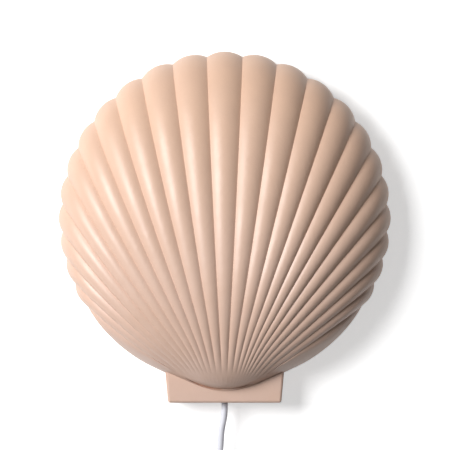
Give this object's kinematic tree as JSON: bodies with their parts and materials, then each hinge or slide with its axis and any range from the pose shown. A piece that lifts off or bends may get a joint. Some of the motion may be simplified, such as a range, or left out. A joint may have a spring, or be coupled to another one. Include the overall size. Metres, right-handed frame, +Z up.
{
  "type": "shell wall sconce",
  "caption": "Wall lamp with a ribbed scallop-shell ceramic shade on a hooked steel back, a globe bulb behind it, and a corded switch and plug.",
  "frame": {"origin": "middle of the wall plate's two screw holes, on the wall plane, which is also the middle of the shell's round outline seen from the front", "axes": "+Y into the wall, so the lamp faces -Y; +Z up; +X to the right seen from the front"},
  "size_m": [0.314, 0.093, 0.5662],
  "materials": {
    "glaze": "satin peach glaze",
    "plated_steel": "zinc plated sheet",
    "brass": "plain brass",
    "soft_pad": "soft translucent",
    "holder_plastic": "moulded white",
    "terminal_ceramic": "unglazed steatite",
    "lead_brown": "insulated wire",
    "lead_blue": "insulated wire",
    "solder": "soft solder",
    "black_bead": "black insulator",
    "bulb_metal": "nickel plated",
    "bulb_plastic": "moulded white",
    "circuit_board": "white solder mask",
    "opal_globe": "opal diffuser",
    "tie_plastic": "soft strap",
    "white_plastic": "moulded white",
    "cord_sheath": "soft white sheath"
  },
  "bodies": {
    "wall_bracket": {"wall_plate": "plated_steel"},
    "lamp": {"shell_body": "glaze", "lug_inserts": "brass", "cross_strap": "plated_steel", "strap_washers": "plated_steel", "strap_screws": "plated_steel", "rim_pads": "soft_pad", "holder_bracket": "plated_steel", "bracket_screws": "plated_steel", "bracket_nuts": "plated_steel", "holder_nipple": "brass", "nipple_nut": "plated_steel", "cord_grip": "holder_plastic", "grip_screw": "holder_plastic", "holder_cap": "holder_plastic", "holder_skirt": "holder_plastic", "terminal_core": "terminal_ceramic", "terminal_screws": "brass", "screw_socket": "brass", "centre_contact": "brass", "lead_live": "lead_brown", "lead_neutral": "lead_blue", "cord_bush": "soft_pad", "coil_tie": "tie_plastic", "switch_base": "white_plastic", "switch_cover": "white_plastic", "switch_axle": "plated_steel", "switch_contacts": "brass", "switch_screws": "plated_steel", "plug_relief": "white_plastic", "plug_body": "white_plastic", "plug_pins": "bulb_metal", "plug_sleeves": "black_bead", "cord_inside": "cord_sheath", "cord_upper": "cord_sheath", "coil_upper": "cord_sheath", "cord_to_switch": "cord_sheath", "cord_from_switch": "cord_sheath", "coil_lower": "cord_sheath", "cord_to_plug": "cord_sheath"},
    "bulb": {"bulb_tip": "solder", "bulb_bead": "black_bead", "bulb_screw_cap": "bulb_metal", "bulb_collar": "bulb_plastic", "bulb_board": "circuit_board", "bulb_globe": "opal_globe"},
    "rocker": {"switch_rocker": "white_plastic"}
  },
  "joints": [
    {"name": "lift_off", "type": "slide", "parent": "wall_bracket", "child": "lamp", "axis": [0, 0, 1], "range_m": [0, 0.01]},
    {"name": "bulb_out", "type": "slide", "parent": "lamp", "child": "bulb", "axis": [0, 0, 1], "range_m": [0, 0.024]},
    {"name": "switch_key", "type": "hinge", "parent": "lamp", "child": "rocker", "pos_m": [0.125, -0.0225, -0.323], "axis": [1, 0, 0], "range_deg": [0, 18]}
  ]
}
